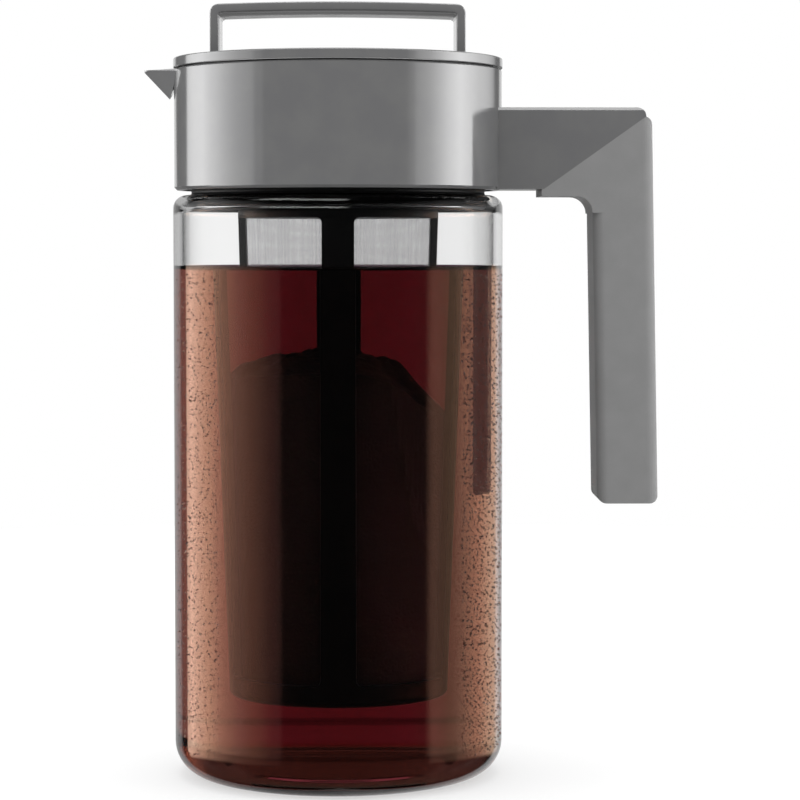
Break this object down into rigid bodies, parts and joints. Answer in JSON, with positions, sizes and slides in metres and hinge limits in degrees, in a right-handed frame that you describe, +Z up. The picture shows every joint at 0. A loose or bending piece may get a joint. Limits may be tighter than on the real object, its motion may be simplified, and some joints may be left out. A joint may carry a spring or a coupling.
{
  "type": "cold brew coffee maker",
  "caption": "Clear cylindrical cold brew coffee jug with a grey collar, beak spout and side handle, and a strap-handled lid that carries a long mesh filter.",
  "frame": {"origin": "on the table, under the axis of the jar: the centre of the jar's foot ring", "axes": "+Z up along the jar's axis, +X towards the handle, -X towards the spout"},
  "size_m": [0.1428, 0.092, 0.2152],
  "materials": {
    "clear_plastic": "polished",
    "grey_plastic": "glossy",
    "grip_rubber": "matte",
    "black_plastic": "satin",
    "black_silicone": "satin",
    "grey_silicone": "satin",
    "mesh": "woven"
  },
  "bodies": {
    "jug": {"jar": "clear_plastic", "neck_seal": "black_silicone", "collar": "grey_plastic", "grip": "grip_rubber"},
    "lid_ring": {"lid_seal": "grey_silicone"},
    "lid": {"lid_cap": "grey_plastic", "lid_handle": "grey_plastic", "lid_stopper": "black_plastic"},
    "filter_ring": {"filter_seal": "grey_silicone"},
    "filter": {"filter_frame": "black_plastic", "filter_mesh": "mesh", "filter_base_mesh": "mesh"}
  },
  "joints": [
    {"name": "lid_lift", "type": "slide", "parent": "jug", "child": "lid_ring", "axis": [0, 0, 1], "range_m": [0, 0.19]},
    {"name": "lid_turn", "type": "hinge", "parent": "lid_ring", "child": "lid", "pos_m": [0, 0, 0.1975], "axis": [0, 0, 1], "range_deg": [0, 90]},
    {"name": "filter_drop", "type": "slide", "parent": "lid", "child": "filter_ring", "axis": [0, 0, -1], "range_m": [0, 0.008]},
    {"name": "filter_turn", "type": "hinge", "parent": "filter_ring", "child": "filter", "pos_m": [0, 0, 0.17], "axis": [0, 0, -1], "range_deg": [0, 120]}
  ],
  "couplings": [
    {"joint": "filter_drop", "follows": "filter_turn", "m_per_rad": 0.0038197}
  ]
}
